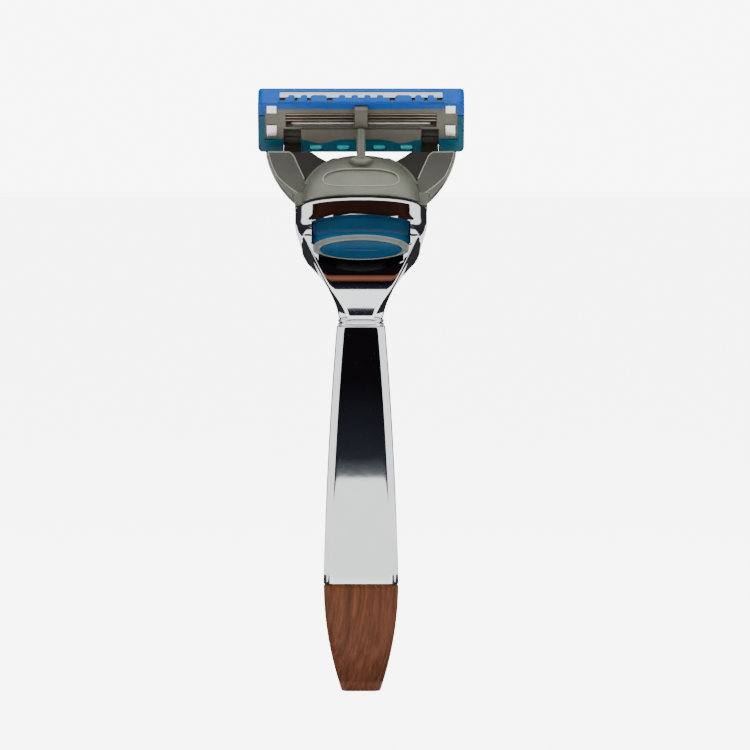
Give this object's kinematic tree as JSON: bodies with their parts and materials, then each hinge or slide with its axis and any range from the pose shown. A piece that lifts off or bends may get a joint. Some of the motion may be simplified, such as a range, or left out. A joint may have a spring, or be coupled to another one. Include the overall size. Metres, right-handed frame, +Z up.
{
  "type": "cartridge razor",
  "caption": "Wet-shaving razor with a tapered chrome handle, wooden end cap, thumb eject button and a pivoting multi-blade cartridge with a comb trimmer and elastomer guard.",
  "frame": {"origin": "centre of the end cap's flat bottom", "axes": "+Z up along the handle towards the cartridge; the thumb button is on the -Y side, the blades face +Y and up; X runs along the blades"},
  "size_m": [0.0416, 0.0263, 0.1205],
  "materials": {
    "chrome": "mirror-bright chrome plate on zinc casting",
    "wood": "satin oiled hardwood, fine straight grain",
    "brass": "machined",
    "steel": "zinc-plated rod",
    "dark_plastic": "moulded acetal, black",
    "button_blue": "soft blue moulded plastic",
    "button_grey": "light grey moulded plastic",
    "spring_steel": "drawn wire",
    "grey_plastic": "metallic-grey moulded plastic, satin",
    "grey_rod": "metallic-grey moulded plastic, satin",
    "housing_grey": "grey moulded plastic",
    "blue_plastic": "glossy blue moulded plastic",
    "blade_steel": "ground stainless strip",
    "aluminium": "folded bright strip",
    "strip_polymer": "waxy lubricating polymer",
    "teal_rubber": "translucent teal elastomer"
  },
  "bodies": {
    "handle": {"handle_shaft": "chrome", "end_cap": "wood", "cap_insert": "brass", "cap_stud": "steel", "neck_stud": "steel", "neck_ring": "chrome", "head_shell": "chrome", "dock_body": "dark_plastic"},
    "thumb_button": {"thumb_slider": "button_blue", "button_rim": "button_grey", "button_pad": "button_blue", "ejector_fork": "dark_plastic"},
    "plunger_rod": {"plunger": "grey_rod", "return_spring": "spring_steel"},
    "yoke_body": {"yoke": "grey_plastic"},
    "cartridge": {"cartridge_housing": "housing_grey", "clip_left": "aluminium", "clip_right": "aluminium", "lubricating_strip": "strip_polymer", "trimmer_cap": "blue_plastic", "trimmer_blade": "blade_steel", "guard": "teal_rubber"},
    "blade_unit_1": {"blade_support_1": "steel", "blade_1": "blade_steel"},
    "blade_unit_2": {"blade_support_2": "steel", "blade_2": "blade_steel"},
    "blade_unit_3": {"blade_support_3": "steel", "blade_3": "blade_steel"},
    "blade_unit_4": {"blade_support_4": "steel", "blade_4": "blade_steel"},
    "blade_unit_5": {"blade_support_5": "steel", "blade_5": "blade_steel"}
  },
  "joints": [
    {"name": "cartridge_pivot", "type": "hinge", "parent": "yoke_body", "child": "cartridge", "pos_m": [0, 0.01934, 0.11094], "axis": [1, 0, 0], "range_deg": [0, 40], "stiffness_Nm_per_rad": 0.003, "springref_deg": -51.57},
    {"name": "cartridge_release", "type": "slide", "parent": "handle", "child": "yoke_body", "axis": [0, 0.4226, 0.9063], "range_m": [0, 0.014]},
    {"name": "eject_slide", "type": "slide", "parent": "handle", "child": "thumb_button", "axis": [0, 0.4226, 0.9063], "range_m": [0, 0.0025], "stiffness_N_per_m": 300, "springref_m": -0.003},
    {"name": "plunger_slide", "type": "slide", "parent": "handle", "child": "plunger_rod", "axis": [0, 0.4226, 0.9063], "range_m": [-0.0056, 0], "deforming": ["return_spring"]},
    {"name": "spring_blade_1", "type": "slide", "parent": "cartridge", "child": "blade_unit_1", "axis": [0, 0.8192, 0.5736], "range_m": [-0.00025, 0], "stiffness_N_per_m": 200, "springref_m": 0.0005},
    {"name": "spring_blade_2", "type": "slide", "parent": "cartridge", "child": "blade_unit_2", "axis": [0, 0.8192, 0.5736], "range_m": [-0.00025, 0], "stiffness_N_per_m": 200, "springref_m": 0.0005},
    {"name": "spring_blade_3", "type": "slide", "parent": "cartridge", "child": "blade_unit_3", "axis": [0, 0.8192, 0.5736], "range_m": [-0.00025, 0], "stiffness_N_per_m": 200, "springref_m": 0.0005},
    {"name": "spring_blade_4", "type": "slide", "parent": "cartridge", "child": "blade_unit_4", "axis": [0, 0.8192, 0.5736], "range_m": [-0.00025, 0], "stiffness_N_per_m": 200, "springref_m": 0.0005},
    {"name": "spring_blade_5", "type": "slide", "parent": "cartridge", "child": "blade_unit_5", "axis": [0, 0.8192, 0.5736], "range_m": [-0.00025, 0], "stiffness_N_per_m": 200, "springref_m": 0.0005}
  ],
  "couplings": [
    {"joint": "plunger_slide", "follows": "cartridge_pivot", "m_per_rad": -0.0078782}
  ]
}
